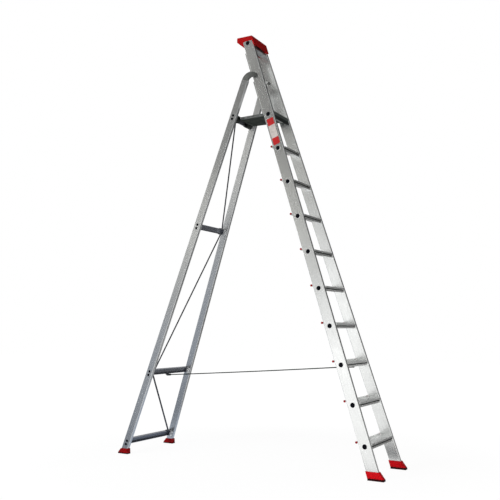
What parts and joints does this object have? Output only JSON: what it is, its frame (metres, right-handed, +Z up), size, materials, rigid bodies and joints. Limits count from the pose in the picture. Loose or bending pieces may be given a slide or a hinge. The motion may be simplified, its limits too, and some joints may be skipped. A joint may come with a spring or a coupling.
{
  "type": "platform step ladder",
  "caption": "Tall aluminium platform step ladder with flared ribbed treads, a braced folding rear frame, a hinged platform, a spreader cord and red plastic feet and cap.",
  "frame": {"origin": "on the floor, at the middle of the ladder's footprint", "axes": "+Z up, +X towards the climbing side, -Y to the stile that is nearer in the picture"},
  "size_m": [1.951, 0.576, 2.965],
  "materials": {
    "stile_aluminium": "satin",
    "tread_aluminium": "satin",
    "leg_aluminium": "satin",
    "bar_aluminium": "satin",
    "bracket_grey": "satin",
    "red_plastic": "satin",
    "black_plastic": "matte",
    "cord_fibre": "matte",
    "bush_plastic": "satin",
    "fastener_steel": "satin"
  },
  "bodies": {
    "climbing_frame": {"left_stile": "stile_aluminium", "right_stile": "stile_aluminium", "guard_strip_left": "stile_aluminium", "guard_strip_right": "stile_aluminium", "guard_head_left": "stile_aluminium", "guard_head_right": "stile_aluminium", "tread_1": "tread_aluminium", "tread_2": "tread_aluminium", "tread_3": "tread_aluminium", "tread_4": "tread_aluminium", "tread_5": "tread_aluminium", "tread_6": "tread_aluminium", "tread_7": "tread_aluminium", "tread_8": "tread_aluminium", "tread_9": "tread_aluminium", "tread_plugs": "red_plastic", "front_foot_left": "red_plastic", "front_foot_right": "red_plastic", "top_rail": "tread_aluminium", "top_cap": "red_plastic", "hinge_bolt_left": "bracket_grey", "hinge_bolt_right": "bracket_grey", "hinge_nuts": "fastener_steel", "platform_axle": "tread_aluminium", "cord_clamp_front": "fastener_steel", "spreader_cord": "cord_fibre"},
    "rear_frame": {"rear_leg_left": "leg_aluminium", "rear_leg_right": "leg_aluminium", "rear_foot_left": "red_plastic", "rear_foot_right": "red_plastic", "bottom_crossbar": "bar_aluminium", "middle_crossbar": "bar_aluminium", "upper_crossbar": "bar_aluminium", "platform_bar": "bar_aluminium", "upper_brace": "bar_aluminium", "middle_brace": "bar_aluminium", "lower_brace": "bar_aluminium", "leg_bracket_left": "bracket_grey", "leg_bracket_right": "bracket_grey", "bar_rivets": "fastener_steel", "brace_rivets": "fastener_steel", "bracket_rivets": "fastener_steel", "bar_saddle_left": "black_plastic", "bar_saddle_right": "black_plastic", "cord_clamp_rear": "fastener_steel"},
    "platform": {"platform_deck": "black_plastic", "platform_nosing": "tread_aluminium", "platform_rail_left": "tread_aluminium", "platform_rail_right": "tread_aluminium", "platform_hook_left": "black_plastic", "platform_hook_right": "black_plastic", "hinge_bushes": "bush_plastic"}
  },
  "joints": [
    {"name": "rear_fold", "type": "hinge", "parent": "climbing_frame", "child": "rear_frame", "pos_m": [0.02518, 0, 2.667], "axis": [0, -1, 0], "range_deg": [0, 36.89], "deforming": ["spreader_cord"]},
    {"name": "platform_tilt", "type": "hinge", "parent": "climbing_frame", "child": "platform", "pos_m": [0.14263, 0, 2.364], "axis": [0, 1, 0], "range_deg": [0, 73.78]}
  ],
  "couplings": [
    {"joint": "platform_tilt", "follows": "rear_fold", "ratio": 2}
  ]
}
